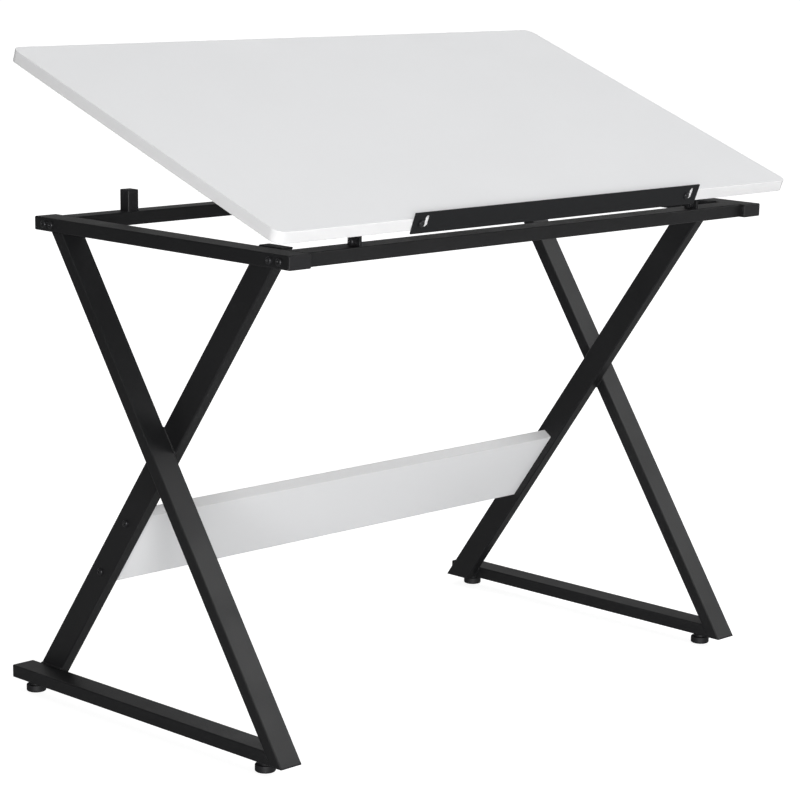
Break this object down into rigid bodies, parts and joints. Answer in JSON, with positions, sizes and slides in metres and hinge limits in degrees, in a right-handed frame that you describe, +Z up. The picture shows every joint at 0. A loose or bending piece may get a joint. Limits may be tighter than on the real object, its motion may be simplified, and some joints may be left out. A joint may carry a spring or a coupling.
{
  "type": "drafting table",
  "caption": "Tilting drafting table with crossed steel tube side frames, a white board top on two front hinges and a lift-up pencil ledge.",
  "frame": {"origin": "on the floor, under the middle of the whole table's bounding box at rest", "axes": "+X to the right of the person drawing, along the longest side; +Y away from that person; +Z up"},
  "size_m": [1.1, 0.647, 0.9789],
  "materials": {
    "frame_steel": "satin black powder coat",
    "ledge_steel": "satin black powder coat",
    "white_board": "white melamine-faced board",
    "white_edge": "white satin edge band",
    "black_plastic": "fine-grained black moulding",
    "black_fasteners": "black oxide",
    "zinc_steel": "zinc plated",
    "brass": "machined"
  },
  "bodies": {
    "frame": {"crossbar_bolts": "black_fasteners", "crossbar_end_plates": "zinc_steel", "foot_nuts": "zinc_steel", "front_crossbar": "frame_steel", "hinge_bolts": "black_fasteners", "hinge_lock_nuts": "black_fasteners", "hinge_lugs": "frame_steel", "hinge_washers": "black_fasteners", "left_bottom_rail": "frame_steel", "left_inner_leg": "frame_steel", "left_outer_leg": "frame_steel", "left_top_rail": "frame_steel", "leg_end_caps": "black_plastic", "lower_panel": "white_board", "lower_panel_barrel_nuts": "zinc_steel", "lower_panel_bolts": "black_fasteners", "lower_panel_edge_bands": "white_edge", "rail_end_caps": "black_plastic", "rear_crossbar": "frame_steel", "rest_post_caps": "black_plastic", "rest_posts": "frame_steel", "right_bottom_rail": "frame_steel", "right_inner_leg": "frame_steel", "right_outer_leg": "frame_steel", "right_top_rail": "frame_steel", "stay_tracks": "frame_steel"},
    "tabletop": {"tabletop_board": "white_board", "tabletop_edge_band": "white_edge", "hinge_brackets": "frame_steel", "hinge_screws": "black_fasteners", "stay_pivot_brackets": "frame_steel", "stay_pivot_bolts": "black_fasteners", "stay_pivot_washers": "zinc_steel", "stay_pivot_nuts": "zinc_steel", "stay_bracket_screws": "black_fasteners", "ledge_screws": "black_fasteners", "ledge_inserts": "brass"},
    "pencil_ledge": {"pencil_ledge": "ledge_steel"},
    "left_stay": {"left_stay_arm": "frame_steel", "left_clamp_stud": "black_fasteners", "left_clamp_washer": "zinc_steel"},
    "left_clamp_knob": {"left_clamp_knob": "black_plastic", "left_knob_insert": "brass"},
    "left_front_foot": {"left_front_foot_pad": "black_plastic", "left_front_foot_stem": "zinc_steel"},
    "left_rear_foot": {"left_rear_foot_pad": "black_plastic", "left_rear_foot_stem": "zinc_steel"},
    "right_stay": {"right_stay_arm": "frame_steel", "right_clamp_stud": "black_fasteners", "right_clamp_washer": "zinc_steel"},
    "right_clamp_knob": {"right_clamp_knob": "black_plastic", "right_knob_insert": "brass"},
    "right_front_foot": {"right_front_foot_pad": "black_plastic", "right_front_foot_stem": "zinc_steel"},
    "right_rear_foot": {"right_rear_foot_pad": "black_plastic", "right_rear_foot_stem": "zinc_steel"}
  },
  "joints": [
    {"name": "tabletop_tilt", "type": "hinge", "parent": "frame", "child": "tabletop", "pos_m": [0, -0.27151, 0.742], "axis": [1, 0, 0], "range_deg": [-20.2, 9.8]},
    {"name": "left_stay_swing", "type": "hinge", "parent": "tabletop", "child": "left_stay", "pos_m": [-0.142, -0.06317, 0.83463], "axis": [1, 0, 0], "range_deg": [-19.6, 40.4]},
    {"name": "left_clamp_knob_turn", "type": "hinge", "parent": "left_stay", "child": "left_clamp_knob", "pos_m": [-0.131, 0.14516, 0.742], "axis": [1, 0, 0], "range_deg": [0, 360]},
    {"name": "right_stay_swing", "type": "hinge", "parent": "tabletop", "child": "right_stay", "pos_m": [0.142, -0.06317, 0.83463], "axis": [1, 0, 0], "range_deg": [-19.6, 40.4]},
    {"name": "right_clamp_knob_turn", "type": "hinge", "parent": "right_stay", "child": "right_clamp_knob", "pos_m": [0.131, 0.14516, 0.742], "axis": [-1, 0, 0], "range_deg": [0, 360]},
    {"name": "pencil_ledge_lift", "type": "slide", "parent": "tabletop", "child": "pencil_ledge", "axis": [0, -0.3453, 0.9385], "range_m": [0, 0.0018]},
    {"name": "left_front_foot_turn", "type": "hinge", "parent": "frame", "child": "left_front_foot", "pos_m": [-0.49, -0.23151, 0], "axis": [0, 0, 1], "continuous": true},
    {"name": "left_rear_foot_turn", "type": "hinge", "parent": "frame", "child": "left_rear_foot", "pos_m": [-0.49, 0.29049, 0], "axis": [0, 0, 1], "continuous": true},
    {"name": "right_front_foot_turn", "type": "hinge", "parent": "frame", "child": "right_front_foot", "pos_m": [0.49, -0.23151, 0], "axis": [0, 0, 1], "continuous": true},
    {"name": "right_rear_foot_turn", "type": "hinge", "parent": "frame", "child": "right_rear_foot", "pos_m": [0.49, 0.29049, 0], "axis": [0, 0, 1], "continuous": true}
  ],
  "couplings": [
    {"joint": "left_stay_swing", "follows": "tabletop_tilt", "ratio": -2},
    {"joint": "right_stay_swing", "follows": "tabletop_tilt", "ratio": -2}
  ]
}
